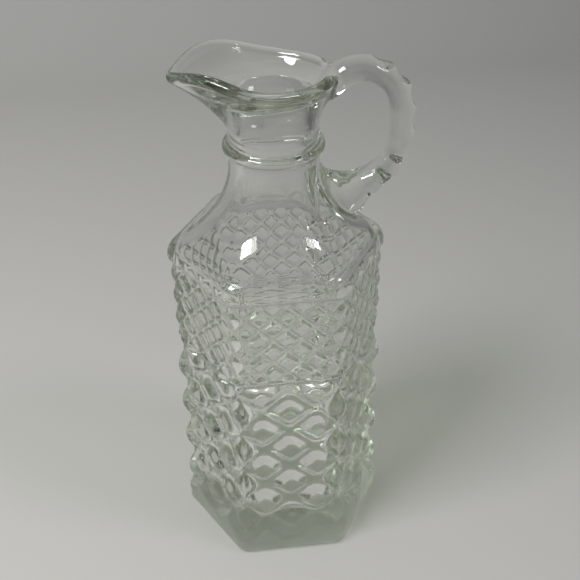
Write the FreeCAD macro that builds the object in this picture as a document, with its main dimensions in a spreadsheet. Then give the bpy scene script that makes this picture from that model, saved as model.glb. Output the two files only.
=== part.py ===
import FreeCAD, Part

import math
import os

import Sketcher
from FreeCAD import Placement, Rotation, Vector

# A small pouring carafe of clear pressed glass, in millimetres.
# It stands on z = 0 with its axis on Z. The spout points along -X and the handle along +X.
# The body is a hexagon with a corner on the X axis, so spout and handle stand over corners.

doc = FreeCAD.newDocument("glass_carafe")

# Every driving size, as a plain number with a word for its alias.
sizes = {
    # hexagonal body, from the table up; steps and insets are for one side
    "body_flats": 56.0,
    "corner_round": 4.5,
    "base_height": 7.2,
    "base_step": 0.3,
    "base_edge": 1.6,
    "lower_height": 61.6,
    "divider_height": 1.6,
    "divider_depth": 1.5,
    "upper_height": 25.2,
    "upper_inset": 0.6,
    # big diamonds below the dividing line
    "lower_pitch": 14.6,
    "lower_across": 2,
    "lower_groove_depth": 1.9,
    "lower_groove_width": 7.4,
    "lower_groove_floor": 0.9,
    # small diamonds above it
    "upper_pitch": 7.75,
    "upper_first_crossing": 3.1,
    "upper_across": 4,
    "upper_groove_depth": 0.9,
    "upper_groove_width": 3.4,
    "upper_groove_floor": 0.4,
    # shoulder, which bulges at its edge and then sweeps up into the neck
    "shoulder_inset": 0.1,
    "shoulder_lift": 3.6,
    "shoulder_round": 6.0,
    "sweep_angle": 66.6,
    "neck_radius": 12.5,
    # collar round the neck
    "collar_height": 4.0,
    "collar_bead": 1.5,
    # pouring lip, which overhangs the neck
    "lip_height": 20.0,
    "lip_start": 6.0,
    "lip_rise": 3.74,
    "rim_bead": 1.6,
    "side_overhang": 4.4,
    "spout_overhang": 13.0,
    "back_overhang": 3.0,
    "widest_place": 7.5,
    # inside
    "floor_level": 9.0,
    "floor_round": 7.0,
    "wall": 4.0,
    "cavity_round": 12.0,
    "inner_round": 8.0,
    "bore_radius": 6.0,
    "seat_clearance": 0.3,
    "throat_flare": 2.5,
    "throat_depth": 4.6,
    # handle, which stands out past the back of the lip
    "handle_stand": 19.5,
    "handle_start": 132.0,
    "handle_bend": 12.2,
    "handle_straight": 5.8,
    "handle_sweep": 17.4,
    "handle_turn": 54.0,
    "handle_tail": 13.5,
    "handle_head": 9.45,
    "handle_thick": 7.0,
    "handle_swell": 0.7,
    "handle_wide": 9.0,
    "handle_root": 13.0,
    "notch_count": 10,
    "notch_pitch": 6.8,
    "notch_depth": 0.8,
}

sheet = doc.addObject("Spreadsheet::Sheet", "Sizes")
for row, (alias, number) in enumerate(sizes.items(), start=1):
    sheet.set(f"A{row}", alias)
    sheet.set(f"B{row}", str(number))
    sheet.setAlias(f"B{row}", alias)
doc.recompute()


def size(alias):
    """The number that the sheet holds under this alias."""
    return float(sheet.get(alias))


def boolean(kind, name, base, tool):
    result = doc.addObject(kind, name)
    result.Base = base
    result.Tool = tool
    return result


CORNERS = 6
UP = Vector(0, 0, 1)
COS30 = math.cos(math.radians(30))

# Widths over the flats, which all follow the body's, as expressions for the sheet.
BASE_FLATS = "(Sizes.body_flats + 2 * Sizes.base_step)"
DIVIDER_FLATS = "(Sizes.body_flats - 2 * Sizes.divider_depth)"
UPPER_FLATS = "(Sizes.body_flats - 2 * Sizes.upper_inset)"
SHOULDER_FLATS = "(Sizes.body_flats - 2 * Sizes.shoulder_inset)"
CAVITY_FLATS = "(Sizes.body_flats - 2 * Sizes.wall)"

# Levels that stack up from the table.
LOWER_LEVEL = "Sizes.base_height"
DIVIDER_LEVEL = f"{LOWER_LEVEL} + Sizes.lower_height"
UPPER_LEVEL = f"{DIVIDER_LEVEL} + Sizes.divider_height"
UPPER_TOP = f"{UPPER_LEVEL} + Sizes.upper_height"
SHOULDER_LEVEL = f"{UPPER_TOP} + Sizes.shoulder_lift"


# ---- rounded hexagons ------------------------------------------------------------------------
def plane_of(body, role):
    return next(f for f in body.Origin.OriginFeatures if f.Role == role)


def rounded_hexagon(body, name, level, apothem, corner):
    """A sketch of a hexagon with round corners, one on the X axis. The sizes are expressions."""
    sketch = body.newObject("Sketcher::SketchObject", name)
    sketch.AttachmentSupport = [(plane_of(body, "XY_Plane"), "")]
    sketch.MapMode = "FlatFace"
    sketch.setExpression("AttachmentOffset.Base.z", level)
    # drawn at its real size, so that the solver only has to keep it there
    flat = float(sketch.evalExpression(apothem))
    bend = float(sketch.evalExpression(corner))
    half = (flat - bend) * math.tan(math.radians(30))
    sides = []
    bends = []
    for k in range(CORNERS):
        facing = math.radians(30 + 60 * k)
        out = Vector(math.cos(facing), math.sin(facing), 0)
        along = UP.cross(out)
        side = Part.LineSegment(out * flat - along * half, out * flat + along * half)
        sides.append(sketch.addGeometry(side))
        ring = Part.Circle(out * (flat - bend) + along * half, UP, bend)
        turn = Part.ArcOfCircle(ring, facing, facing + math.radians(60))
        bends.append(sketch.addGeometry(turn))
    for k in range(CORNERS):
        following = sides[(k + 1) % CORNERS]
        sketch.addConstraint(Sketcher.Constraint("Tangent", sides[k], 2, bends[k], 1))
        sketch.addConstraint(Sketcher.Constraint("Tangent", bends[k], 2, following, 1))
    for k in range(CORNERS):
        angle = math.radians(120 + 60 * k)
        sketch.addConstraint(Sketcher.Constraint("Angle", sides[k], angle))
        distance = sketch.addConstraint(Sketcher.Constraint("Distance", -1, 1, sides[k], flat))
        sketch.setExpression(f"Constraints[{distance}]", apothem)
        radius = sketch.addConstraint(Sketcher.Constraint("Radius", bends[k], bend))
        sketch.setExpression(f"Constraints[{radius}]", corner)
    return sketch


def hexagonal_band(name, level, height, flats):
    """A straight length of the hexagonal body."""
    body = doc.addObject("PartDesign::Body", name)
    outline = rounded_hexagon(body, name + "_outline", level, f"{flats} / 2", "Sizes.corner_round")
    pad = body.newObject("PartDesign::Pad", name + "_pad")
    pad.Profile = outline
    pad.setExpression("Length", height)
    return body


# ---- the body's four bands -------------------------------------------------------------------
base_band = hexagonal_band("base_band", "0", "Sizes.base_height", BASE_FLATS)
doc.recompute()
pad = base_band.Tip
under = [f"Edge{i}" for i, e in enumerate(pad.Shape.Edges, start=1) if e.BoundBox.ZMax < 0.01]
base_edge = base_band.newObject("PartDesign::Fillet", "base_edge")
base_edge.Base = (pad, under)
base_edge.setExpression("Radius", "Sizes.base_edge")

lower_band = hexagonal_band("lower_band", LOWER_LEVEL, "Sizes.lower_height", "Sizes.body_flats")
divider = hexagonal_band("divider", DIVIDER_LEVEL, "Sizes.divider_height", DIVIDER_FLATS)
upper_band = hexagonal_band("upper_band", UPPER_LEVEL, "Sizes.upper_height", UPPER_FLATS)


# ---- diamond cutting -------------------------------------------------------------------------
# A groove's sides turn at a knee, this share of the way out and this share of the depth down.
KNEE_OUT, KNEE_DOWN = 0.16, 0.45


def groove(length, depth, width, floor, bulge):
    """A V-shaped cutter with a narrow floor, along Y, cutting down from z = 0."""
    half_outline = [(floor / 2, -depth), (width / 2, 0), (width / 2, 1)]
    if bulge:
        # steep next to the floor and nearly level where the diamond's crown begins
        knee = (floor / 2 + (width - floor) * KNEE_OUT, -depth * KNEE_DOWN)
        half_outline.insert(1, knee)
    corners = half_outline + [(-x, z) for x, z in reversed(half_outline)]
    points = [Vector(x, -length / 2, z) for x, z in corners]
    face = Part.Face(Part.makePolygon(points + points[:1]))
    return face.extrude(Vector(0, length, 0))


def cut_diamonds(name, band, flats, bottom, top, crossing, pitch, across, cutter_sizes):
    """Cuts slanting grooves both ways into the six faces. They cross on the corners at each pitch."""
    side = flats / math.sqrt(3)
    fall = pitch * across
    slope = math.degrees(math.atan2(fall, side))
    past_the_corner = 1.12
    cutter = groove(math.hypot(side, fall) * past_the_corner, *cutter_sizes)
    for k in range(CORNERS):
        cutters = []
        for way in (-1, 1):
            level = crossing - fall
            while level < top:
                cut = cutter.copy()
                # slant the cutter, stand it against the face, then lift and turn it into place
                cut.rotate(Vector(), UP, 90 - way * slope)
                cut.rotate(Vector(), Vector(1, 0, 0), 90)
                cut.rotate(Vector(), UP, 90)
                cut.translate(Vector(flats / 2, 0, level + fall / 2))
                cut.rotate(Vector(), UP, 30 + 60 * k)
                if cut.BoundBox.ZMax > bottom and cut.BoundBox.ZMin < top:
                    cutters.append(cut)
                level += pitch
        grooves = doc.addObject("Part::Feature", f"{name}_grooves_{k + 1}")
        grooves.Shape = Part.makeCompound(cutters)
        band = boolean("Part::Cut", f"{name}_face_{k + 1}", band, grooves)
    return band


lower_bottom = size("base_height")
lower_top = lower_bottom + size("lower_height")
lower_diamonds = cut_diamonds(
    "lower",
    lower_band,
    size("body_flats"),
    lower_bottom,
    lower_top,
    lower_bottom,
    size("lower_pitch"),
    int(size("lower_across")),
    (
        size("lower_groove_depth"),
        size("lower_groove_width"),
        size("lower_groove_floor"),
        True,
    ),
)

upper_bottom = lower_top + size("divider_height")
upper_top = upper_bottom + size("upper_height")
upper_diamonds = cut_diamonds(
    "upper",
    upper_band,
    size("body_flats") - 2 * size("upper_inset"),
    upper_bottom,
    upper_top,
    upper_bottom + size("upper_first_crossing"),
    size("upper_pitch"),
    int(size("upper_across")),
    (
        size("upper_groove_depth"),
        size("upper_groove_width"),
        size("upper_groove_floor"),
        False,
    ),
)


# ---- shoulder and cavity: a bulging edge that sweeps up into a round neck -----------------------
# Sections stand at these shares of the turn, out over the edge and then back up the sweep.
EDGE_SHARES = (0, 0.25, 0.5, 0.75, 1)
SWEEP_SHARES = (0.86, 0.72, 0.58, 0.44, 0.3, 0.15, 0)
ALL_BUT_ROUND = 0.97  # the corners' radius at the neck, as a share of the neck's


def ridge_of(flats, corner):
    """How far a rounded corner stands from the axis, as an expression."""
    return f"(({flats}) / 2 / cos(30) - ({corner}) * (1 / cos(30) - 1))"


def bottle_shoulder(body, name, flats, corner, edge_level, edge_round, neck, foot):
    """A loft from the hexagon at the shoulder's edge to the round neck.

    Its corner ridges follow an arc of edge_round over the edge and then a larger hollow arc that
    ends upright at the neck. foot is a list of (level, flats) below the edge.
    """
    ridge = ridge_of(flats, corner)
    both = f"(({ridge} - {neck}) / (1 - cos(Sizes.sweep_angle)))"
    neck_level = f"({edge_level} + {both} * sin(Sizes.sweep_angle))"
    sections = []
    for i, (level, flats_below) in enumerate(foot):
        title = f"{name}_foot_{i}"
        sections.append(rounded_hexagon(body, title, level, f"{flats_below} / 2", corner))
    for share in EDGE_SHARES:
        angle = f"({share} * Sizes.sweep_angle)"
        reach = f"({ridge} - {edge_round} * (1 - cos({angle})))"
        level = f"{edge_level} + {edge_round} * sin({angle})"
        apothem = f"{reach} * cos(30) + {corner} * (1 - cos(30))"
        sections.append(
            rounded_hexagon(body, f"{name}_edge_{len(sections)}", level, apothem, corner)
        )
    reach_below = f"({ridge} - {edge_round} * (1 - cos(Sizes.sweep_angle)))"
    for share in SWEEP_SHARES:
        angle = f"({share} * Sizes.sweep_angle)"
        hollow = f"({both} - {edge_round})"
        reach = f"({neck} + {hollow} * (1 - cos({angle})))"
        level = f"{neck_level} - {hollow} * sin({angle})"
        # the corners grow rounder up the shoulder, until the section is all but a circle
        low = share**2
        bend = f"({reach} * ({corner} / {reach_below} * {low} + {ALL_BUT_ROUND} * {1 - low}))"
        apothem = f"{reach} * cos(30) + {bend} * (1 - cos(30))"
        sections.append(
            rounded_hexagon(body, f"{name}_sweep_{len(sections)}", level, apothem, bend)
        )
    loft = body.newObject("PartDesign::AdditiveLoft", name + "_loft")
    loft.Profile = sections[0]
    loft.Sections = sections[1:]
    loft.Ruled = True
    return loft


def shoulder_stack(flats, corner, neck):
    """How far the ridges' two arcs come in and rise together, as a number."""
    ridge = flats / 2 / COS30 - corner * (1 / COS30 - 1)
    sweep = math.radians(size("sweep_angle"))
    return (ridge - neck) / (1 - math.cos(sweep)) * math.sin(sweep)


shoulder = doc.addObject("PartDesign::Body", "shoulder")
bottle_shoulder(
    shoulder,
    "shoulder",
    SHOULDER_FLATS,
    "Sizes.corner_round",
    SHOULDER_LEVEL,
    "Sizes.shoulder_round",
    "Sizes.neck_radius",
    [
        (UPPER_TOP, UPPER_FLATS),
        (f"{UPPER_TOP} + Sizes.shoulder_lift / 2", f"({SHOULDER_FLATS} - Sizes.shoulder_inset)"),
    ],
)

shoulder_level = upper_top + size("shoulder_lift")
neck_level = shoulder_level + shoulder_stack(
    size("body_flats") - 2 * size("shoulder_inset"), size("corner_round"), size("neck_radius")
)

# The cavity follows the outside one wall inside it, with rounder corners, and ends in the bore.
cavity_edge = neck_level - shoulder_stack(
    size("body_flats") - 2 * size("wall"), size("cavity_round"), size("bore_radius")
)
cavity = doc.addObject("PartDesign::Body", "cavity")
cavity_outline = rounded_hexagon(
    cavity, "cavity_outline", "Sizes.floor_level", f"{CAVITY_FLATS} / 2", "Sizes.cavity_round"
)
cavity_pad = cavity.newObject("PartDesign::Pad", "cavity_pad")
cavity_pad.Profile = cavity_outline
cavity_pad.setExpression("Length", f"{cavity_edge} - Sizes.floor_level")
doc.recompute()
floor_edges = [
    f"Edge{i}"
    for i, e in enumerate(cavity_pad.Shape.Edges, start=1)
    if e.BoundBox.ZMax < size("floor_level") + 0.01
]
cavity_floor = cavity.newObject("PartDesign::Fillet", "cavity_floor")
cavity_floor.Base = (cavity_pad, floor_edges)
cavity_floor.setExpression("Radius", "Sizes.floor_round")
bottle_shoulder(
    cavity,
    "cavity",
    CAVITY_FLATS,
    "Sizes.cavity_round",
    f"{cavity_edge}",
    "Sizes.inner_round",
    "Sizes.bore_radius",
    [],
)

# ---- neck, bore and collar -----------------------------------------------------------------------
collar_level = neck_level + size("collar_height")
buried = 1.0


def upright_cylinder(name, radius, level, height):
    cylinder = doc.addObject("Part::Cylinder", name)
    cylinder.setExpression("Radius", radius)
    cylinder.setExpression("Height", height)
    cylinder.Placement = Placement(Vector(0, 0, level), Rotation())
    return cylinder


neck = upright_cylinder(
    "neck", "Sizes.neck_radius", neck_level - buried, f"Sizes.collar_height + {buried}"
)
bore = upright_cylinder(
    "bore", "Sizes.bore_radius", neck_level - buried, f"Sizes.collar_height + {3 * buried}"
)
collar = doc.addObject("Part::Torus", "collar")
collar.setExpression("Radius1", "Sizes.neck_radius")
collar.setExpression("Radius2", "Sizes.collar_bead")
collar.Placement = Placement(Vector(0, 0, collar_level), Rotation())


# ---- pouring lip --------------------------------------------------------------------------------
def closed_curve(points):
    curve = Part.BSplineCurve()
    curve.interpolate(points, PeriodicFlag=True)
    return Part.Wire(curve.toShape())


rim_level = collar_level + size("lip_height")
rim_half_width = size("neck_radius") + size("side_overhang")
spout_reach = size("neck_radius") + size("spout_overhang")
back_reach = size("neck_radius") + size("back_overhang")
LIP_POINTS = 24
# How the oval's front half is drawn in to a point: powers of the cosine and sine round it.
SPOUT_TAPER, SPOUT_PINCH = 4 / 3, 1.6
# How the rim's rise lies along the mouth: it peaks past the middle and falls again at the tip.
RISE_BEND, RISE_SPAN = 1.5, 0.8


def rim_place(turn):
    """The middle of the rim at this turn round the mouth: an oval, drawn to a point at the spout."""
    middle = -size("widest_place")
    c, s = math.cos(turn), math.sin(turn)
    if c > 0:
        x = middle + (back_reach - middle) * c
        y = rim_half_width * s
    else:
        x = middle - (spout_reach + middle) * abs(c) ** SPOUT_TAPER
        y = math.copysign(rim_half_width * abs(s) ** SPOUT_PINCH, s)
    # the rim climbs from the handle to the shoulders of the spout and dips again at its tip
    climb = (back_reach - x) / (back_reach + spout_reach)
    rise = math.sin(math.pi * climb**RISE_BEND * RISE_SPAN) ** 2
    z = rim_level + size("lip_rise") * rise
    return Vector(x, y, z)


def lip_ring(radius, level):
    turns = [2 * math.pi * i / LIP_POINTS for i in range(LIP_POINTS)]
    return [Vector(radius * math.cos(t), radius * math.sin(t), level) for t in turns]


def lip_edge(around):
    """A line round the rim's bead. around is 0 on its outer side, 90 on top and 180 inside."""
    points = []
    step = 0.01
    for i in range(LIP_POINTS):
        turn = 2 * math.pi * i / LIP_POINTS
        middle = rim_place(turn)
        ahead = rim_place(turn + step) - rim_place(turn - step)
        out = Vector(ahead.y, -ahead.x, 0).normalize()
        angle = math.radians(around)
        offset = out * math.cos(angle) + UP * math.sin(angle)
        points.append(middle + offset * size("rim_bead"))
    return points


def between(first, last, share, lift):
    """Points a share of the way from one line to the next, with a share of its own for height."""
    mixed = []
    for a, b in zip(first, last):
        p = a + (b - a) * share
        mixed.append(Vector(p.x, p.y, a.z + (b.z - a.z) * lift))
    return mixed


# The lip's wall, as lines round it: up the outside, over the rim's bead and down to the bore.
# The pairs say how far out and how far up a line lies between the one below it and the one above.
FLARE = ((0.2, 0.3), (0.5, 0.62), (0.8, 0.86))
DISH = ((0.6, 0.5), (0.2, 0.14))
SEAT = ((0.4, 0.6),)
UNDER_BEAD, OVER_BEAD, INSIDE_BEAD = -50, (0, 45, 90, 135), 170
ring_bottom = collar_level - buried
slip_fit = size("neck_radius") - 0.1  # just inside the neck, which it is fused with
seat_radius = size("bore_radius") + size("seat_clearance")
lip_foot = lip_ring(size("neck_radius"), collar_level + size("lip_start"))
under_rim = lip_edge(UNDER_BEAD)
throat = lip_ring(size("bore_radius") + size("throat_flare"), rim_level - size("throat_depth"))
seat_top = lip_ring(seat_radius, rim_level - 2 * size("throat_depth"))
inside_rim = lip_edge(INSIDE_BEAD)
outer_lines = [
    lip_ring(slip_fit, ring_bottom),
    lip_ring(slip_fit, ring_bottom + 3 * buried),
    lip_foot,
    *(between(lip_foot, under_rim, *shares) for shares in FLARE),
    under_rim,
]
rim_lines = [lip_edge(around) for around in OVER_BEAD]
inner_lines = [
    inside_rim,
    *(between(throat, inside_rim, *shares) for shares in DISH),
    throat,
    *(between(seat_top, throat, *shares) for shares in SEAT),
    seat_top,
    lip_ring(seat_radius, ring_bottom + 2 * buried),
    lip_ring(seat_radius, ring_bottom),
]
lines = [closed_curve(points) for points in outer_lines + rim_lines + inner_lines]
skin = Part.makeLoft(lines, False, True)
foot = Part.makeFace([lines[0], lines[-1]], "Part::FaceMakerBullseye")
lip = doc.addObject("Part::Feature", "lip")
sewn = Part.makeShell(skin.Faces + [foot])
sewn.sewShape()
lip_solid = Part.Solid(sewn)
if lip_solid.Volume < 0:
    lip_solid.reverse()
lip.Shape = lip_solid


# ---- handle -------------------------------------------------------------------------------------
# Its centre line leaves the lip over a round bend, drops straight, sweeps back in and runs into
# the shoulder.
handle_reach = back_reach + size("handle_stand")
bend_centre = Vector(handle_reach - size("handle_bend"), 0, rim_level - size("handle_bend"))
sweep_centre = Vector(
    handle_reach - size("handle_sweep"), 0, bend_centre.z - size("handle_straight")
)


def on_arc(centre, radius, angle):
    """The place on an arc at this angle in degrees, and the heading when running clockwise."""
    a = math.radians(angle)
    place = centre + Vector(radius * math.cos(a), 0, radius * math.sin(a))
    return place, Vector(math.sin(a), 0, -math.cos(a))


bend_length = math.radians(size("handle_start")) * size("handle_bend")
sweep_length = math.radians(size("handle_turn")) * size("handle_sweep")
handle_length = bend_length + size("handle_straight") + sweep_length + size("handle_tail")


def along_handle(run):
    """Place and heading at this distance along the handle's centre line from the lip."""
    if run <= bend_length:
        angle = size("handle_start") - math.degrees(run / size("handle_bend"))
        return on_arc(bend_centre, size("handle_bend"), angle)
    run -= bend_length
    if run <= size("handle_straight"):
        return Vector(handle_reach, 0, bend_centre.z - run), Vector(0, 0, -1)
    run -= size("handle_straight")
    if run <= sweep_length:
        return on_arc(sweep_centre, size("handle_sweep"), -math.degrees(run / size("handle_sweep")))
    place, heading = on_arc(sweep_centre, size("handle_sweep"), -size("handle_turn"))
    return place + heading * (run - sweep_length), heading


OVAL_POINTS = 12


def handle_section(run, thick, wide):
    """An oval across the handle: wide along Y and thick in the plane of the handle."""
    place, heading = along_handle(run)
    outward = Vector(0, 1, 0).cross(heading)
    points = []
    for i in range(OVAL_POINTS):
        a = 2 * math.pi * i / OVAL_POINTS
        sideways = Vector(0, math.sin(a) * wide / 2, 0)
        points.append(place + outward * (math.cos(a) * thick / 2) + sideways)
    return closed_curve(points)


thick = size("handle_thick")
wide = size("handle_wide")
root = size("handle_root")
# The bar's thickness at shares of its length: stout at the lip and stouter at the shoulder.
thickness_at = {
    0.0: size("handle_head"),
    0.08: thick + size("handle_swell"),
    0.16: thick,
    0.3: thick,
    0.45: thick,
    0.58: thick,
    0.7: thick,
    0.8: thick + size("handle_swell"),
    0.9: (thick + root) / 2,
    1.0: root,
}
ovals = [handle_section(share * handle_length, t, wide) for share, t in thickness_at.items()]
handle = doc.addObject("Part::Feature", "handle_bar")
handle.Shape = Part.makeLoft(ovals, True, False)

# The handle's end follows the middle of the lip's wall, so that none of it stands in the mouth.
IN_THE_WALL = 0.5
ABOVE_THE_RIM = 12.0
mouth_lines = []
for line in (throat, *inner_lines[2:0:-1], inside_rim):
    mouth_lines.append([p + Vector(p.x, p.y, 0).normalize() * IN_THE_WALL for p in line])
lowest = mouth_lines[0]
mouth_lines.insert(0, [Vector(p.x, p.y, ring_bottom) for p in lowest])
above = mouth_lines[-1]
mouth_lines.append([Vector(p.x, p.y, rim_level + ABOVE_THE_RIM) for p in above])
mouth = doc.addObject("Part::Feature", "mouth")
mouth.Shape = Part.makeLoft([closed_curve(points) for points in mouth_lines], True, True)

# The outer side is nicked at even steps, as a grip.
FIRST_NOTCH = 0.2  # as a share of the handle's length
notches = []
first_notch = FIRST_NOTCH * handle_length
for k in range(int(size("notch_count"))):
    place, heading = along_handle(first_notch + k * size("notch_pitch"))
    outward = Vector(0, 1, 0).cross(heading)
    depth = size("notch_depth")
    radius = (size("notch_pitch") ** 2 / 4 + depth**2) / (2 * depth)
    centre = place + outward * (thick / 2 + radius - depth)
    start = centre - Vector(0, wide, 0)
    notches.append(Part.makeCylinder(radius, 2 * wide, start, Vector(0, 1, 0)))
notch_tools = doc.addObject("Part::Feature", "handle_notches")
notch_tools.Shape = Part.makeCompound(notches)
notched = boolean("Part::Cut", "notched_handle", handle, notch_tools)
handle_end = boolean("Part::Cut", "handle_end", notched, mouth)

# ---- the whole piece ----------------------------------------------------------------------------
outside = doc.addObject("Part::MultiFuse", "outside")
outside.Shapes = [
    base_band,
    lower_diamonds,
    divider,
    upper_diamonds,
    shoulder,
    neck,
    collar,
    handle_end,
]
hollow = doc.addObject("Part::MultiFuse", "hollow")
hollow.Shapes = [cavity, bore]
blown = boolean("Part::Cut", "blown", outside, hollow)
carafe = boolean("Part::Fuse", "glass_carafe", blown, lip)
carafe.Label = "glass_carafe"
doc.recompute()

for item in doc.Objects:
    if "Invalid" in item.State or "Error" in item.State:
        raise RuntimeError(f"{item.Name} failed: {item.State}")
subparts = [carafe]
for item in subparts:
    shape = item.Shape
    if shape.isNull() or not shape.isValid() or len(shape.Solids) != 1:
        raise RuntimeError(f"{item.Label} is not one valid solid")

os.makedirs("parts", exist_ok=True)
for item in subparts:
    item.Shape.exportStep(f"parts/{item.Label}.step")
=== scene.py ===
import math

import bmesh
import bpy
import mathutils
import mathutils.bvhtree
import mathutils.kdtree
import numpy as np
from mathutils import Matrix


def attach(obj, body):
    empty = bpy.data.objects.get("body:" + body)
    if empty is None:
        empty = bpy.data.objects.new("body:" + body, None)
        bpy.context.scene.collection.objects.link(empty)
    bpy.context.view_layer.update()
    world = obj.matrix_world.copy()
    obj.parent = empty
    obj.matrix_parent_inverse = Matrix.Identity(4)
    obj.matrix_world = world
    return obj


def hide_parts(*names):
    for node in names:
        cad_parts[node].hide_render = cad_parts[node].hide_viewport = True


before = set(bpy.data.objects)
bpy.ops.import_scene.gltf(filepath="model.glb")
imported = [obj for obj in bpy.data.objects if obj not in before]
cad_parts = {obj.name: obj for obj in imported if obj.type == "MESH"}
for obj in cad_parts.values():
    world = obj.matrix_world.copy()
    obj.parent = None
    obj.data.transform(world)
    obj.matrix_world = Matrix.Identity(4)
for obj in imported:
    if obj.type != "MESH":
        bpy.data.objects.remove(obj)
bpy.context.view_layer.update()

# ---- pressed body ------------------------------------------------------------------------------
# The body is a hexagonal block of clear soda-lime glass, blown into a mould that presses big
# diamonds into its lower part and small ones above a dividing line. It stands on a plain thick
# band. The mesh is built ring by ring from the table up, in millimetres.
MM = 0.001
COLUMNS = 432  # a multiple of the half diamonds round the lower part and round the upper
CORNER_ROUND = 4.6
BASE_HEIGHT = 7.2
BASE_EDGE = 1.6
LOWER_HEIGHT = 61.6
DIVIDER_HEIGHT, DIVIDER_DEPTH = 1.6, 0.9
UPPER_HEIGHT = 27.4
BASE_APOTHEM, LOWER_APOTHEM, UPPER_APOTHEM = 28.3, 28.0, 27.4
LOWER_PITCH, LOWER_DEPTH, LOWER_HALVES = 14.6, 2.3, 24
UPPER_PITCH, UPPER_DEPTH, UPPER_HALVES = 7.75, 0.9, 48
LOWER_GROOVE, LOWER_SLOPE = 0.25, 3.4  # half a groove's floor, and the width of its sides
UPPER_GROOVE, UPPER_SLOPE = 0.1, 1.1
PLATEAU, PILLOW = 0.8, 0.2  # shares of a diamond's form: flat top with steep sides, and round
CORNER_FROM, CORNER_OVER = 0.5, 0.45  # where on a half face diamonds start to turn to pillows
TAPER_IN = 6.0  # how far up the body comes in from the base to its own width
EDGE_ROUND = 1.2  # rounding of the patterned parts where they meet the dividing line
FIRST_SMALL = 0.4  # where the small diamonds first cross, as a share of their pitch
COS30 = math.cos(math.radians(30))

station = np.arange(COLUMNS) / COLUMNS  # how far round the hexagon, from the corner on +X


def hexagon_ring(apothem, bend, share=station):
    """Places and outward directions round a hexagon with corners of radius bend."""
    side = np.floor(share * 6)
    along = (share * 6 - side) * 2 - 1  # from -1 to 1 over one face
    half = apothem * math.tan(math.radians(30))
    straight = np.maximum(half - bend * math.tan(math.radians(30)), 1e-6)
    distance = along * half
    past = np.clip((np.abs(distance) - straight) / (half - straight), 0, 1)
    lean = np.sign(distance) * past * math.radians(30)
    facing = np.radians(30 + 60 * side)
    reach = np.clip(distance, -straight, straight)
    x = (apothem - bend) + bend * np.cos(lean)
    y = reach + bend * np.sin(lean)
    place = np.stack(
        [
            x * np.cos(facing) - y * np.sin(facing),
            x * np.sin(facing) + y * np.cos(facing),
        ],
        1,
    )
    out = np.stack([np.cos(facing + lean), np.sin(facing + lean)], 1)
    return place, out


def ring_at(level, apothem, bend, sunk=0.0):
    """One ring of the outside: x, y and z, and how far it is sunk into the glass."""
    place, out = hexagon_ring(apothem, bend)
    sunk = np.full(COLUMNS, 1.0) * sunk
    place = place - out * sunk[:, None]
    return np.column_stack([place, np.full(COLUMNS, level), sunk])


def smooth(share):
    share = np.clip(share, 0, 1)
    return share * share * (3 - 2 * share)


def rise_of(distance, half_width, floor, rise):
    """Height from 0 in a groove to 1 in the middle of a diamond.

    On the faces a diamond is nearly flat, with steep sides. Over a corner it is a round pillow.
    """
    share = np.clip(distance / half_width, 0, 1)
    pillow = 1 - (1 - share) ** 2
    plateau = PLATEAU * smooth((distance - floor) / rise) + PILLOW * pillow
    from_middle = np.abs((station * 6) % 1 * 2 - 1)
    over_corner = smooth((from_middle - CORNER_FROM) / CORNER_OVER)
    return plateau + (pillow - plateau) * over_corner


def diamonds(level, first_crossing, pitch, halves, side, depth, floor, rise, free_below):
    """How deep each station lies under the diamonds' tops at this level."""
    across = station * halves
    up = (level - first_crossing) / (pitch / 2)
    half_width = pitch / 2 * side / math.hypot(side, pitch / 2)
    rising = np.abs((across - up + 1) % 2 - 1) * half_width
    falling = np.abs((across + up + 1) % 2 - 1) * half_width
    height = rise_of(rising, half_width, floor, rise) * rise_of(falling, half_width, floor, rise)
    if free_below:
        # below the lowest zigzag of grooves the glass is plain
        zigzag = np.abs((across + 1) % 2 - 1)
        below = np.clip((zigzag - up) * half_width, 0, None)
        height = np.where(up < zigzag, smooth(below / rise), height)
    return depth * (1 - height)


def rounded_in(distance):
    """How far a patterned part is rounded in at this distance from its edge."""
    share = np.clip(distance / EDGE_ROUND, 0, 1)
    return DIVIDER_DEPTH * (1 - np.sqrt(1 - (1 - share) ** 2))


lower_top = BASE_HEIGHT + LOWER_HEIGHT
upper_bottom = lower_top + DIVIDER_HEIGHT
upper_top = upper_bottom + UPPER_HEIGHT

rings = []
# underside and the rounded edge that it stands on
for share in (0.25, 0.5, 0.75, 0.92):
    rings.append(ring_at(0.0, BASE_APOTHEM * share, CORNER_ROUND * share))
for angle in np.radians(np.linspace(0, 90, 7)):
    inset = BASE_EDGE * (1 - math.sin(angle))
    level = BASE_EDGE * (1 - math.cos(angle))
    rings.append(ring_at(level, BASE_APOTHEM - inset, CORNER_ROUND))

# plain band and big diamonds
for level in np.arange(BASE_EDGE + 1.2, BASE_HEIGHT - 0.4, 1.0):
    rings.append(ring_at(level, BASE_APOTHEM, CORNER_ROUND))
# rows as high as makes the grooves run from corner to corner of the mesh's faces
lower_row = LOWER_PITCH / 2 / (COLUMNS / LOWER_HALVES)
upper_row = UPPER_PITCH / 2 / (COLUMNS / UPPER_HALVES)
for level in np.append(np.arange(BASE_HEIGHT, lower_top - 0.2, lower_row), lower_top):
    blend = np.clip((level - BASE_HEIGHT) / TAPER_IN, 0, 1)
    apothem = BASE_APOTHEM + (LOWER_APOTHEM - BASE_APOTHEM) * blend
    sunk = diamonds(
        level, BASE_HEIGHT, LOWER_PITCH, LOWER_HALVES, 2 * LOWER_APOTHEM / math.sqrt(3) / 4,
        LOWER_DEPTH, LOWER_GROOVE, LOWER_SLOPE, True,
    )
    sunk = sunk + rounded_in(lower_top - level)
    rings.append(ring_at(level, apothem, CORNER_ROUND, sunk))

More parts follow.
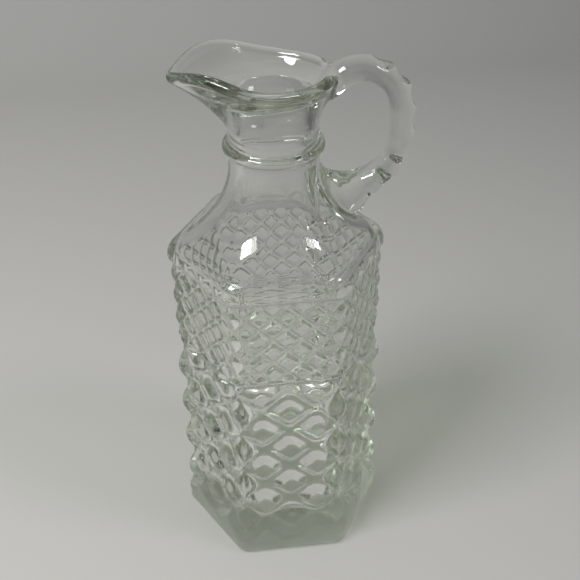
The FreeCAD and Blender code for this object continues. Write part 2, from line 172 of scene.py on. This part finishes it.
# the dividing line, a narrow channel right round
for angle in np.radians(np.linspace(-90, 90, 7))[1:-1]:
    level = lower_top + DIVIDER_HEIGHT * (0.5 + 0.5 * math.sin(angle))
    apothem = LOWER_APOTHEM - DIVIDER_DEPTH * (1 + math.cos(angle))
    rings.append(ring_at(level, apothem, CORNER_ROUND))

# small diamonds, up to the shoulder's edge
first_crossing = upper_bottom + UPPER_PITCH * FIRST_SMALL
below = np.arange(first_crossing, upper_bottom + 0.1, -upper_row)[::-1]
above_it = np.arange(first_crossing, upper_top - 0.1, upper_row)[1:]
for level in np.concatenate([[upper_bottom], below, above_it, [upper_top]]):
    sunk = diamonds(
        level, first_crossing, UPPER_PITCH, UPPER_HALVES,
        2 * UPPER_APOTHEM / math.sqrt(3) / 8, UPPER_DEPTH, UPPER_GROOVE, UPPER_SLOPE, False,
    )
    sunk = sunk + rounded_in(level - upper_bottom)
    rings.append(ring_at(level, UPPER_APOTHEM, CORNER_ROUND, sunk))

# ---- shoulder and neck -------------------------------------------------------------------------
# The shoulder bulges at its edge, then sweeps up in six hollow facets that melt into the round
# neck. A bead of glass stands out round the neck as a collar.
SHOULDER_APOTHEM, SHOULDER_LIFT = 27.9, 1.4
SHOULDER_START = 0.2  # how far in from the small diamonds the bulge starts
NECK_RADIUS = 12.5
SHOULDER_ROUND = 6.0
ALL_BUT_ROUND = 0.985  # the hexagon's corners take up this share of the neck's radius
SWEEP = math.radians(66.6)
COLLAR_HEIGHT, COLLAR_BEAD = 4.0, 1.5
NECK_COLUMNS = COLUMNS // 3


def ridge_of(apothem, bend):
    return apothem / COS30 - bend * (1 / COS30 - 1)


def apothem_of(ridge, bend):
    return ridge * COS30 + bend * (1 - COS30)


def shoulder_rings(apothem, bend, edge_level, edge_round, neck, steps):
    """(level, apothem, bend) up a shoulder: over its edge and then up the hollow sweep."""
    ridge = ridge_of(apothem, bend)
    both = (ridge - neck) / (1 - math.cos(SWEEP))
    top = edge_level + both * math.sin(SWEEP)
    found = []
    for angle in np.linspace(0, SWEEP, steps + 1):
        reach = ridge - edge_round * (1 - math.cos(angle))
        found.append((edge_level + edge_round * math.sin(angle), apothem_of(reach, bend), bend))
    hollow = both - edge_round
    start = neck + hollow * (1 - math.cos(SWEEP))
    for angle in np.linspace(SWEEP, 0, 3 * steps + 1)[1:]:
        reach = neck + hollow * (1 - math.cos(angle))
        low = angle / SWEEP
        rounder = reach * (bend / start * low + ALL_BUT_ROUND * (1 - low))
        found.append((top - hollow * math.sin(angle), apothem_of(reach, rounder), rounder))
    return found, top


shoulder_level = upper_top + SHOULDER_LIFT
bulge_from = UPPER_APOTHEM - SHOULDER_START
for level in np.linspace(upper_top, shoulder_level, 8)[1:-1]:
    share = (level - upper_top) / SHOULDER_LIFT
    apothem = bulge_from + (SHOULDER_APOTHEM - bulge_from) * math.sin(share * math.pi / 2)
    rings.append(ring_at(level, apothem, CORNER_ROUND))
climb, neck_level = shoulder_rings(
    SHOULDER_APOTHEM, CORNER_ROUND, shoulder_level, SHOULDER_ROUND, NECK_RADIUS, 12
)
for level, apothem, bend in climb:
    rings.append(ring_at(level, apothem, bend))

collar_level = neck_level + COLLAR_HEIGHT
turns = np.linspace(0, 2 * math.pi, NECK_COLUMNS, endpoint=False)
neck_station = turns / (2 * math.pi)


def round_ring(radius, level):
    level = np.full(NECK_COLUMNS, level)
    return np.column_stack([radius * np.cos(turns), radius * np.sin(turns), level])


slim = [round_ring(NECK_RADIUS, collar_level - COLLAR_BEAD - 0.5)]
for angle in np.radians(np.linspace(-80, 80, 15)):
    radius = NECK_RADIUS + COLLAR_BEAD * math.cos(angle)
    slim.append(round_ring(radius, collar_level + COLLAR_BEAD * math.sin(angle)))

# ---- pouring lip -------------------------------------------------------------------------------
# The neck flares into a wide oval lip, pulled out to a point on one side as the spout. Its rim is
# a rounded bead, and inside it a shallow dish runs down to the throat.
LIP_HEIGHT, LIP_START = 20.0, 6.0
LIP_DIP, LIP_RISE = 1.05, 4.3
LIP_BEND, LIP_SPAN = 2.0, 0.8  # the rim's rise gathers towards the spout, and ends past its crest
RIM_BEAD = 1.6
RIM_HALF_WIDTH = 16.9
SPOUT_REACH, BACK_REACH, WIDEST = 25.5, 15.5, 7.5
BORE, STOPPER_BORE, THROAT, THROAT_DEPTH = 8.6, 8.7, 9.0, 4.6
rim_level = neck_level + COLLAR_HEIGHT + LIP_HEIGHT


def rim_middle(turn):
    c, s = np.cos(turn), np.sin(turn)
    back = -WIDEST + (BACK_REACH + WIDEST) * c
    front = -WIDEST - (SPOUT_REACH - WIDEST) * np.abs(c) ** (4 / 3)
    x = np.where(c > 0, back, front)
    y = RIM_HALF_WIDTH * np.sign(s) * np.where(c > 0, np.abs(s), np.abs(s) ** 1.6)
    climb = (BACK_REACH - x) / (BACK_REACH + SPOUT_REACH)
    z = rim_level - LIP_DIP + LIP_RISE * np.sin(math.pi * climb**LIP_BEND * LIP_SPAN) ** 2
    return np.column_stack([x, y, z])


def rim_line(around):
    """A line round the rim's bead. around is 0 on its outer side, 90 on top and 180 inside."""
    step = 0.01
    ahead = rim_middle(turns + step) - rim_middle(turns - step)
    out = np.column_stack([ahead[:, 1], -ahead[:, 0], np.zeros(NECK_COLUMNS)])
    out /= np.linalg.norm(out, axis=1)[:, None]
    angle = math.radians(around)
    up = np.array([0, 0, math.sin(angle)])
    return rim_middle(turns) + RIM_BEAD * (out * math.cos(angle) + up)


def between(first, last, share, lift):
    """A ring this share of the way across from first to last, and lift of the way up."""
    mixed = first + (last - first) * share
    mixed[:, 2] = first[:, 2] + (last[:, 2] - first[:, 2]) * lift
    return mixed


def through(lines, steps):
    """Smooth rings through the given lines, with this many steps from each line to the next."""
    ends = [2 * lines[0] - lines[1]] + lines + [2 * lines[-1] - lines[-2]]
    found = []
    for a, b, c, d in zip(ends, ends[1:], ends[2:], ends[3:]):
        for t in np.arange(steps) / steps:
            found.append(
                0.5 * (2 * b + (c - a) * t + (2 * a - 5 * b + 4 * c - d) * t**2
                       + (3 * b - a - 3 * c + d) * t**3)
            )
    return found + [lines[-1]]


lip_foot = round_ring(NECK_RADIUS, collar_level + LIP_START)
under_rim = rim_line(-50)
throat = round_ring(THROAT, rim_level - THROAT_DEPTH)
stopper_foot = round_ring(STOPPER_BORE, rim_level - 2 * THROAT_DEPTH)
inside_rim = rim_line(170)
slim += through(
    [
        round_ring(NECK_RADIUS, collar_level + COLLAR_BEAD + 0.6),
        lip_foot,
        between(lip_foot, under_rim, 0.2, 0.3),
        between(lip_foot, under_rim, 0.5, 0.62),
        between(lip_foot, under_rim, 0.8, 0.86),
        under_rim,
    ],
    5,
)
slim += [rim_line(around) for around in range(-35, 170, 15)]
slim += through(
    [
        inside_rim,
        between(throat, inside_rim, 0.6, 0.5),
        between(throat, inside_rim, 0.2, 0.14),
        throat,
        between(stopper_foot, throat, 0.4, 0.6),
        stopper_foot,
        round_ring(STOPPER_BORE, collar_level + 2),
        round_ring(BORE, collar_level - 1),
    ],
    5,
)

# ---- inside ------------------------------------------------------------------------------------
# The blown hollow follows the outside one wall further in, with softer corners and no pattern.
# Its floor is thick, and rounds up into the walls.
WALL, FLOOR, FLOOR_ROUND = 3.4, 9.0, 7.0
FLOOR_BEND = 2.5  # corner radius of the floor's flat part
CAVITY_BEND, INNER_ROUND = 6.0, 3.0
TAPER = 2.4  # how much narrower the hollow is at its foot, on each side
cavity_apothem = LOWER_APOTHEM - WALL


def inner_ring(level, apothem, bend):
    place, _ = hexagon_ring(apothem, bend, neck_station)
    return np.column_stack([place, np.full(NECK_COLUMNS, level)])


both = (ridge_of(cavity_apothem, CAVITY_BEND) - BORE) / (1 - math.cos(SWEEP))
cavity_edge = neck_level - both * math.sin(SWEEP)
descent, _ = shoulder_rings(cavity_apothem, CAVITY_BEND, cavity_edge, INNER_ROUND, BORE, 8)
for level, apothem, bend in reversed(descent):
    slim.append(inner_ring(level, apothem, bend))
foot_apothem = cavity_apothem - TAPER
for level in np.linspace(cavity_edge, FLOOR + FLOOR_ROUND, 30)[1:]:
    drop = (cavity_edge - level) / (cavity_edge - FLOOR - FLOOR_ROUND)
    slim.append(inner_ring(level, cavity_apothem - TAPER * drop, CAVITY_BEND))
for angle in np.radians(np.linspace(0, 90, 10))[1:]:
    inset = FLOOR_ROUND * (1 - math.cos(angle))
    bend = CAVITY_BEND - inset * (CAVITY_BEND - FLOOR_BEND) / FLOOR_ROUND
    level = FLOOR + FLOOR_ROUND * (1 - math.sin(angle))
    slim.append(inner_ring(level, foot_apothem - inset, bend))
for share in (0.7, 0.45, 0.2):
    slim.append(inner_ring(FLOOR, (foot_apothem - FLOOR_ROUND) * share, FLOOR_BEND * share))


def join(mesh, lower, upper, sunk=None):
    """Faces between two rings of vertices. The upper may have a third as many as the lower.

    With the depths that both rings are sunk to, each face is split along the groove.
    """
    count = len(upper)
    for i in range(count):
        j = (i + 1) % count
        if len(lower) > count:
            a, b, c, d = (lower[(3 * i + k) % len(lower)] for k in range(4))
            mesh.faces.new((a, b, upper[i]))
            mesh.faces.new((b, c, upper[j], upper[i]))
            mesh.faces.new((c, d, upper[j]))
        elif sunk is None:
            mesh.faces.new((lower[i], lower[j], upper[j], upper[i]))
        elif abs(sunk[0][i] - sunk[1][j]) <= abs(sunk[0][j] - sunk[1][i]):
            mesh.faces.new((lower[i], lower[j], upper[j]))
            mesh.faces.new((lower[i], upper[j], upper[i]))
        else:
            mesh.faces.new((lower[i], lower[j], upper[i]))
            mesh.faces.new((lower[j], upper[j], upper[i]))


bottle = bmesh.new()
loops = [[bottle.verts.new(place) for place in ring[:, :3] * MM] for ring in rings + slim]
for k, (lower, upper) in enumerate(zip(loops, loops[1:])):
    sunk = None
    if k + 1 < len(rings) and (rings[k][:, 3].any() or rings[k + 1][:, 3].any()):
        sunk = rings[k][:, 3], rings[k + 1][:, 3]
    join(bottle, lower, upper, sunk)
for loop, level in ((loops[0], 0.0), (loops[-1], FLOOR)):
    centre = bottle.verts.new((0, 0, level * MM))
    for a, b in zip(loop, loop[1:] + loop[:1]):
        bottle.faces.new((a, b, centre))
bmesh.ops.recalc_face_normals(bottle, faces=bottle.faces)

# ---- handle ------------------------------------------------------------------------------------
# A bar of glass drawn out of the lip, bent over and let down to the shoulder. Its outer side is
# notched at even steps, as a grip.
HANDLE_REACH, HANDLE_BEND, HANDLE_STRAIGHT = 35.0, 12.2, 5.8
HANDLE_SWEEP, HANDLE_TURN, HANDLE_TAIL = 17.4, 54.0, 14.7
BEND_FROM = 150
THICK, WIDE = 7.0, 9.0
FIRST_NOTCH, NOTCH_PITCH, NOTCH_DEPTH, NOTCHES = 19.8, 6.85, 1.6, 8
NOTCH_ROUNDNESS = 0.08  # how much of the bar's roundness is left across a notch
BAR_SIDES, BAR_STEPS = 48, 250
bend_centre = np.array([HANDLE_REACH - HANDLE_BEND, rim_level - HANDLE_BEND])
sweep_centre = np.array([HANDLE_REACH - HANDLE_SWEEP, bend_centre[1] - HANDLE_STRAIGHT])
bend_length = math.radians(BEND_FROM) * HANDLE_BEND
sweep_length = math.radians(HANDLE_TURN) * HANDLE_SWEEP
handle_length = bend_length + HANDLE_STRAIGHT + sweep_length + HANDLE_TAIL


def on_arc(centre, radius, angle):
    a = math.radians(angle)
    heading = np.array([math.sin(a), -math.cos(a)])
    return centre + radius * np.array([math.cos(a), math.sin(a)]), heading


def along_handle(run):
    """Place and heading in the XZ plane at this distance down the handle."""
    if run <= bend_length:
        return on_arc(bend_centre, HANDLE_BEND, BEND_FROM - math.degrees(run / HANDLE_BEND))
    run -= bend_length
    if run <= HANDLE_STRAIGHT:
        return np.array([HANDLE_REACH, bend_centre[1] - run]), np.array([0.0, -1.0])
    run -= HANDLE_STRAIGHT
    if run <= sweep_length:
        return on_arc(sweep_centre, HANDLE_SWEEP, -math.degrees(run / HANDLE_SWEEP))
    place, heading = on_arc(sweep_centre, HANDLE_SWEEP, -HANDLE_TURN)
    return place + heading * (run - sweep_length), heading


# half the bar's thickness at distances down it, on its outer and on its inner side; it thins into
# the wall of the lip, and spreads into a web between the neck and the shoulder
half = THICK / 2
root_at = bend_length + HANDLE_STRAIGHT + sweep_length
outer_half = (
    [0, 2.1, 3.8, 5.3, 6.8, 9.8, root_at, root_at + 5, root_at + 8, handle_length],
    [2.0, 1.9, 1.6, 2.6, 3.1, half, half + 0.3, 4.8, 6.0, 8.2],
)
inner_half = (
    [0, 2.1, 5, 8, 12, 14, root_at - 6, root_at, root_at + 3, root_at + 5.5, root_at + 8.3,
     root_at + 9.3, root_at + 10.7, handle_length],
    [4.5, 4.8, 4.9, 4.4, 3.7, half, half, 3.8, 4.4, 6.0, 9.0, 12.0, 12.4, 8.0],
)
# the notches are evenly spaced along the outer side, which is longer than the middle line
outer_edge = (
    [0, bend_length, bend_length + HANDLE_STRAIGHT, root_at, handle_length],
    np.cumsum([0, bend_length * (1 + half / HANDLE_BEND), HANDLE_STRAIGHT,
               sweep_length * (1 + half / HANDLE_SWEEP), HANDLE_TAIL]),
)
bar = bmesh.new()
loops = []
around = np.linspace(0, 2 * math.pi, BAR_SIDES, endpoint=False)
for run in np.linspace(0, handle_length, BAR_STEPS + 1):
    place, heading = along_handle(run)
    outward = np.array([-heading[1], heading[0]])
    outer, inner = np.interp(run, *outer_half), np.interp(run, *inner_half)
    high = np.where(np.cos(around) > 0, outer, inner) * np.cos(around)
    notch = (np.interp(run, *outer_edge) - FIRST_NOTCH) / NOTCH_PITCH
    if 0 < notch < NOTCHES:
        top = outer - NOTCH_DEPTH * (1 - (2 * (notch % 1) - 1) ** 2)
        high = np.where(high > top, top + (high - top) * NOTCH_ROUNDNESS, high)
    side = WIDE / 2 * np.sin(around)
    loop = np.column_stack([place[0] + outward[0] * high, side, place[1] + outward[1] * high])
    loops.append([bar.verts.new(v) for v in loop * MM])
for lower, upper in zip(loops, loops[1:]):
    join(bar, lower, upper)
for loop in (loops[0], loops[-1]):
    centre = bar.verts.new(sum((v.co for v in loop), mathutils.Vector()) / BAR_SIDES)
    for a, b in zip(loop, loop[1:] + loop[:1]):
        bar.faces.new((a, b, centre))
bmesh.ops.recalc_face_normals(bar, faces=bar.faces)


def piece(name, mesh):
    data = bpy.data.meshes.new(name)
    mesh.to_mesh(data)
    mesh.free()
    made = bpy.data.objects.new(name, data)
    bpy.context.scene.collection.objects.link(made)
    return made


carafe = piece("carafe_glass", bottle)
grip = piece("carafe_handle", bar)
scene_graph = bpy.context.evaluated_depsgraph_get()
surfaces = [mathutils.bvhtree.BVHTree.FromObject(made, scene_graph) for made in (carafe, grip)]
union = carafe.modifiers.new("handle", "BOOLEAN")
union.operation = "UNION"
union.solver = "EXACT"
union.object = grip
bpy.context.view_layer.update()
scene_graph = bpy.context.evaluated_depsgraph_get()
joined = bpy.data.meshes.new_from_object(carafe.evaluated_get(scene_graph))
carafe.modifiers.clear()
carafe.data = joined
bpy.data.objects.remove(grip)

# the hot glass of the handle has run into the body, so the seams between them are rounded
SEAM_TOUCH, SEAM_REACH, SEAM_ROUNDS = 0.002 * MM, 3.2 * MM, 60


def on_both(co):
    return all(surface.find_nearest(co)[3] < SEAM_TOUCH for surface in surfaces)


seam = [v.co for v in joined.vertices if on_both(v.co)]
near = mathutils.kdtree.KDTree(len(seam))
for k, co in enumerate(seam):
    near.insert(co, k)
near.balance()
places = np.array([v.co for v in joined.vertices])
close = np.array([near.find(v.co)[2] for v in joined.vertices])
pull = 0.5 * smooth(1 - close / SEAM_REACH)[:, None]
edges = np.array([e.vertices[:] for e in joined.edges])
edges = edges[(pull[edges[:, 0], 0] > 0) | (pull[edges[:, 1], 0] > 0)]
neighbours = np.bincount(edges.ravel(), minlength=len(places))[:, None].clip(1)
for _ in range(SEAM_ROUNDS):
    total = np.zeros_like(places)
    np.add.at(total, edges[:, 0], places[edges[:, 1]])
    np.add.at(total, edges[:, 1], places[edges[:, 0]])
    places += (total / neighbours - places) * pull
joined.vertices.foreach_set("co", places.ravel())
joined.update()
for face in joined.polygons:
    face.use_smooth = True


class Value:
    """A socket. Sums on one that holds a number add Math nodes."""

    def __init__(self, finish, socket):
        self.finish, self.socket = finish, socket

    def maths(self, operation, first, second):
        return self.finish.add("Math", {"operation": operation}, {0: first, 1: second})

    def __add__(self, other):
        return self.maths("ADD", self, other)

    def __mul__(self, other):
        return self.maths("MULTIPLY", self, other)

    def __sub__(self, other):
        return self.maths("SUBTRACT", self, other)

    def __rsub__(self, other):
        return self.maths("SUBTRACT", other, self)

    def __truediv__(self, other):
        return self.maths("DIVIDE", self, other)

    def __rtruediv__(self, other):
        return self.maths("DIVIDE", other, self)

    def at_least(self, other):
        return self.maths("MAXIMUM", self, other)

    __radd__ = __add__
    __rmul__ = __mul__


class Finish:
    """A material, and the one way in which its nodes are added."""

    def __init__(self, name):
        self.material = bpy.data.materials.new(name)
        self.material.use_nodes = True
        self.nodes = self.material.node_tree.nodes
        self.links = self.material.node_tree.links
        self.nodes.clear()

    def add(self, kind, settings, sockets, output=0):
        """Add a node. Sockets go by name, or by number where two share a name."""
        node = self.nodes.new("ShaderNode" + kind)
        for name, value in settings.items():
            setattr(node, name, value)
        for key, value in sockets.items():
            if isinstance(value, Value):
                self.links.new(value.socket, node.inputs[key])
            else:
                node.inputs[key].default_value = value
        return Value(self, node.outputs[output]) if node.outputs else node


# clear soda-lime glass with a faint grey-green in its depth; its fire-polished skin ripples a
# little, and the foot is stippled where it stands on the table
GLASS_IOR = 1.52
DEPTH_TINT, DEPTH_DENSITY = (0.40, 0.47, 0.33, 1), 18.0
PASSED_LIGHT = (0.84, 0.86, 0.83, 1)
RIPPLES_PER_METRE, RIPPLE_STRENGTH, RIPPLE_HEIGHT = 90.0, 0.10, 0.4 * MM
BLOOM = 0.03  # the most that the polished skin is dulled
STIPPLE_TOP, STIPPLE = 0.5 * MM, 0.45
glass = Finish("clear_pressed_glass")
where = glass.add("TexCoord", {}, {}, "Object")
wave = glass.add("TexNoise", {}, {"Vector": where, "Scale": RIPPLES_PER_METRE, "Detail": 1.0})
ripple = glass.add(
    "Bump", {}, {"Strength": RIPPLE_STRENGTH, "Distance": RIPPLE_HEIGHT, "Height": wave}
)
height = glass.add("SeparateXYZ", {}, {"Vector": where}, "Z")
bloom = wave * BLOOM
stippled = (1 - height / STIPPLE_TOP).at_least(0)
surface = glass.add(
    "BsdfPrincipled",
    {},
    {
        "Base Color": (1, 1, 1, 1),
        "Roughness": bloom + (STIPPLE - bloom) * stippled,
        "Normal": ripple,
        "IOR": GLASS_IOR,
        "Transmission Weight": 1.0,
    },
)
depth = glass.add("VolumeAbsorption", {}, {"Color": DEPTH_TINT, "Density": DEPTH_DENSITY})
# light falls through the glass onto the table instead of stopping at it
shadow_ray = glass.add("LightPath", {}, {}, "Is Shadow Ray")
diffuse_ray = glass.add("LightPath", {}, {}, "Is Diffuse Ray")
passed = glass.add("BsdfTransparent", {}, {"Color": PASSED_LIGHT})
seen = glass.add("MixShader", {}, {0: shadow_ray.at_least(diffuse_ray), 1: surface, 2: passed})
glass.add("OutputMaterial", {}, {"Surface": seen, "Volume": depth})
carafe.data.materials.clear()
carafe.data.materials.append(glass.material)
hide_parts("glass_carafe")
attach(carafe, "root")

# ---- studio ------------------------------------------------------------------------------------
scene = bpy.context.scene
scene.view_settings.view_transform = "Standard"
scene.cycles.max_bounces = 32
scene.cycles.transmission_bounces = 32
scene.cycles.glossy_bounces = 16
scene.cycles.transparent_max_bounces = 16

# the table runs back and then rises in a soft bend
floor_mesh = bmesh.new()
TABLE_BACK, TABLE_BEND, TABLE_GAP = 0.36, 0.16, 0.2 * MM
run = [(-1.6, 0.0), (-0.6, 0.0), (0.0, 0.0), (0.2, 0.0)]
for angle in np.radians(np.linspace(0, 80, 17)):
    run.append((TABLE_BACK + TABLE_BEND * math.sin(angle), TABLE_BEND * (1 - math.cos(angle))))
run.append((TABLE_BACK + TABLE_BEND * 1.3, 1.2))
strips = []
for across in np.linspace(-1.6, 1.6, 9):
    strips.append([floor_mesh.verts.new((across, y, z - TABLE_GAP)) for y, z in run])
for left, right_hand in zip(strips, strips[1:]):
    for k in range(len(run) - 1):
        floor_mesh.faces.new((left[k], right_hand[k], right_hand[k + 1], left[k + 1]))
floor = piece("floor", floor_mesh)
for face in floor.data.polygons:
    face.use_smooth = True
# pale matt card with a painted pool of light: its colour is lighter on the left and in front than
# at the back, standing in for the lamps' falloff
CARD_FAR_PAINTED_SHADE, CARD_NEAR_PAINTED_LIGHT = (0.28, 0.282, 0.278, 1), (0.62, 0.61, 0.58, 1)
pale = Finish("pale_table_painted_light")
where = pale.add("TexCoord", {}, {}, "Object")
painted_pool_spread = pale.add(
    "Mapping", {}, {"Vector": where, "Location": (0.2, 0.24, 0), "Scale": (1.1, 0.9, 0.9)}
)
# painted light: the card's colour fades from the lit near side to the painted shade at the far
# side
painted_light_fade = pale.add("TexGradient", {"gradient_type": "SPHERICAL"}, {"Vector": painted_pool_spread}, "Fac")
painted_light_colour = pale.add(
    "Mix", {"data_type": "RGBA"}, {"Factor": painted_light_fade, 6: CARD_FAR_PAINTED_SHADE, 7: CARD_NEAR_PAINTED_LIGHT}, 2
)
card = pale.add("BsdfPrincipled", {}, {"Base Color": painted_light_colour, "Roughness": 0.7})
pale.add("OutputMaterial", {}, {"Surface": card})
floor.data.materials.append(pale.material)

world = bpy.data.worlds.new("room")
scene.world = world
world.use_nodes = True
sky = world.node_tree.nodes["Background"]
sky.inputs["Color"].default_value = (0.11, 0.112, 0.11, 1)
sky.inputs["Strength"].default_value = 1.0


def panel(name, azimuth, elevation, distance, size, power):
    """A soft panel of light that faces the carafe."""
    data = bpy.data.lights.new(name, "AREA")
    data.energy = power
    data.shape = "RECTANGLE"
    data.size, data.size_y = size
    made = bpy.data.objects.new(name, data)
    scene.collection.objects.link(made)
    az, el = math.radians(azimuth), math.radians(elevation)
    way = mathutils.Vector(
        (math.cos(az) * math.cos(el), math.sin(az) * math.cos(el), math.sin(el))
    )
    made.location = way * distance + mathutils.Vector((0, 0, 0.08))
    made.rotation_euler = way.to_track_quat("Z", "Y").to_euler()


panel("left_panel", -150, 50, 1.0, (0.42, 0.30), 9.4)
panel("right_panel", -26, 46, 1.1, (0.26, 0.18), 2.8)

# the camera looks down on the carafe from in front of one face
YAW, PITCH, ROLL = 0.1059, 0.6141, 0.0196
UNIT = 31.0
SENSOR, FOCAL_LENGTH = 36.0, 58.9655
right = np.array([1.0, 0, 0])
ahead = np.array([0, math.cos(PITCH), -math.sin(PITCH)])
above = np.array([0, math.sin(PITCH), math.cos(PITCH)])
place = (0.1185 * right + 2.2024 * above - 10.7194 * ahead) * UNIT * MM
unturn = np.array(
    [[math.cos(YAW), math.sin(YAW), 0], [-math.sin(YAW), math.cos(YAW), 0], [0, 0, 1]]
)
level_x = right * math.cos(ROLL) - above * math.sin(ROLL)
level_y = right * math.sin(ROLL) + above * math.cos(ROLL)
matrix = mathutils.Matrix.Identity(4)
for i, axis in enumerate((level_x, level_y, -ahead)):
    column = unturn @ axis
    for j in range(3):
        matrix[j][i] = column[j]
location = unturn @ place
for j in range(3):
    matrix[j][3] = location[j]
lens = bpy.data.cameras.new("camera")
lens.sensor_width = SENSOR
lens.lens = FOCAL_LENGTH
camera = bpy.data.objects.new("camera", lens)
scene.collection.objects.link(camera)
camera.matrix_world = matrix
scene.camera = camera
